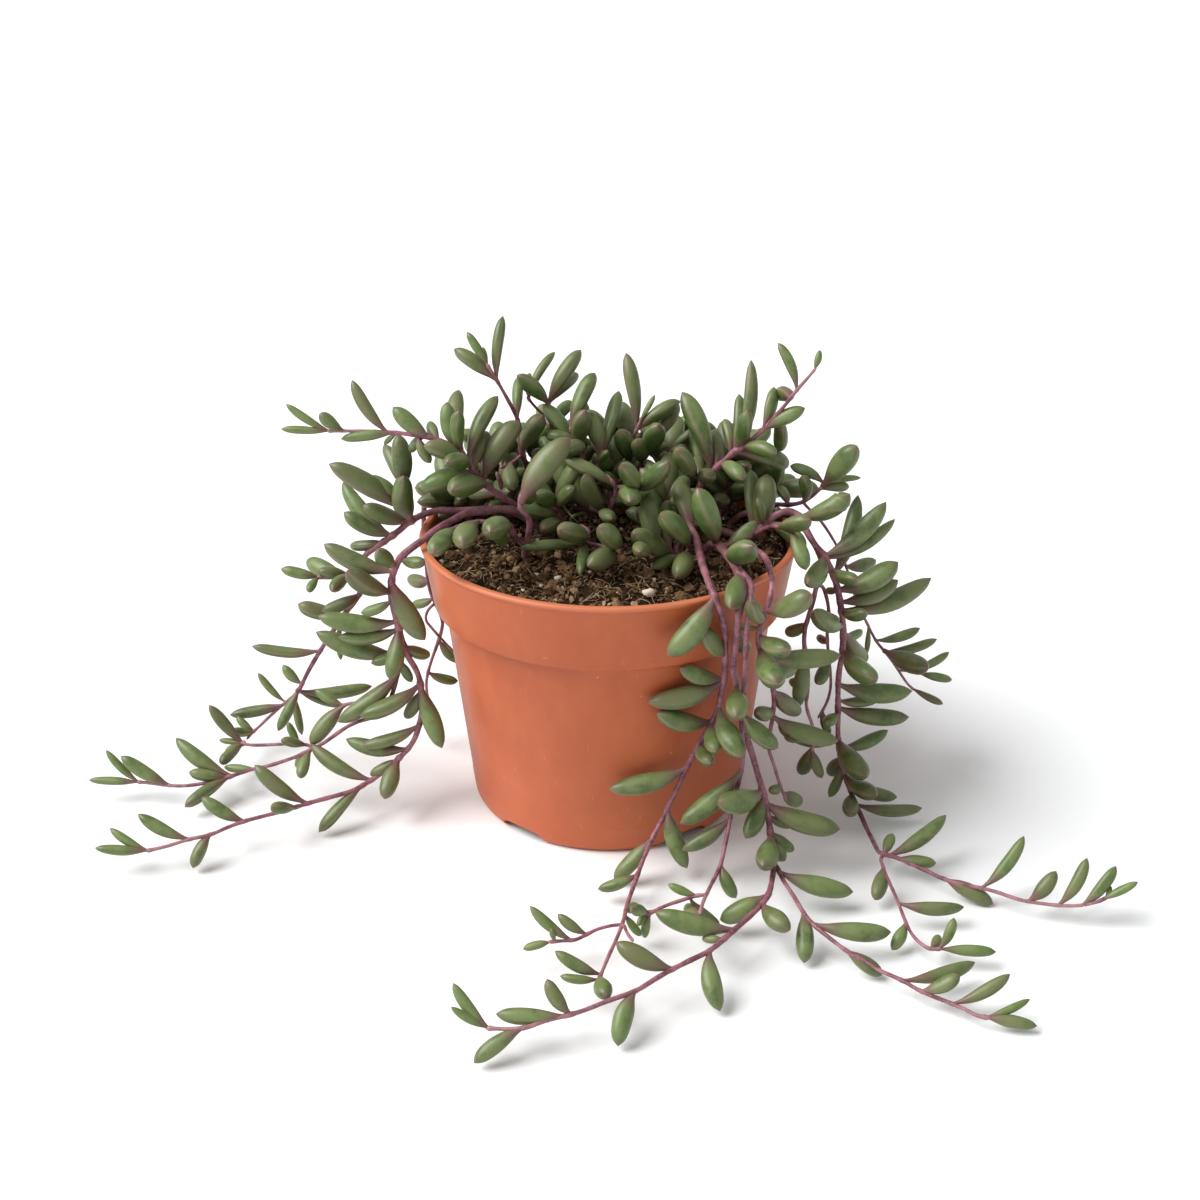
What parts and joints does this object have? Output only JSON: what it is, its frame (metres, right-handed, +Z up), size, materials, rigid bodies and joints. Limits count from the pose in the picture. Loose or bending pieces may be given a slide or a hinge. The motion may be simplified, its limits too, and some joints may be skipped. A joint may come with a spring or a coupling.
{
  "type": "potted string of beads",
  "caption": "Trailing succulent with fleshy spindle-shaped leaves on thin stems that spill over the rim of a round terracotta-coloured nursery pot filled with soil",
  "frame": {"origin": "Centre of the pot's flat underside, on the surface that the pot stands on.", "axes": "+Z up along the pot's axis. +X to the right and +Y away as seen from the front, the side where the front shoots trail towards the viewer."},
  "size_m": [0.3269, 0.2956, 0.1567],
  "materials": {
    "terracotta_plastic": "satin, slightly rubbed injection-moulded plastic",
    "potting_soil": "loose crumbs, matte",
    "leaf_flesh": "waxy bloom, satin; the stems are purple-red"
  },
  "bodies": {
    "root": {"pot": "terracotta_plastic", "soil": "potting_soil", "trailing_shoot_left_low": "leaf_flesh", "trailing_shoot_left_high": "leaf_flesh", "arching_shoot_upper_left": "leaf_flesh", "upright_shoot_left": "leaf_flesh", "upright_shoot_back_left": "leaf_flesh", "crown_shoot_centre_left": "leaf_flesh", "upright_shoot_centre": "leaf_flesh", "upright_shoot_right": "leaf_flesh", "crown_shoot_centre": "leaf_flesh", "crown_shoot_front_left": "leaf_flesh", "crown_shoot_front_centre": "leaf_flesh", "hanging_shoot_front": "leaf_flesh", "trailing_shoot_front": "leaf_flesh", "cluster_shoot_right_front": "leaf_flesh", "spreading_shoot_right": "leaf_flesh", "hanging_shoot_left_back": "leaf_flesh", "hanging_shoot_right_back": "leaf_flesh", "spreading_shoot_far_right": "leaf_flesh", "back_shoot_centre": "leaf_flesh", "back_shoot_left": "leaf_flesh", "back_shoot_right": "leaf_flesh", "back_shoot_short_left": "leaf_flesh", "crown_fill_far_left": "leaf_flesh", "crown_fill_left": "leaf_flesh", "crown_fill_left_back": "leaf_flesh", "crown_fill_inner_left": "leaf_flesh", "crown_fill_centre": "leaf_flesh", "crown_fill_centre_back": "leaf_flesh", "crown_fill_inner_right": "leaf_flesh", "crown_fill_right_back": "leaf_flesh", "crown_fill_right": "leaf_flesh", "crown_fill_far_right": "leaf_flesh", "crown_fill_back_left": "leaf_flesh", "crown_fill_back_right": "leaf_flesh", "crown_fill_front_left": "leaf_flesh", "crown_fill_front_right": "leaf_flesh"}
  },
  "joints": []
}
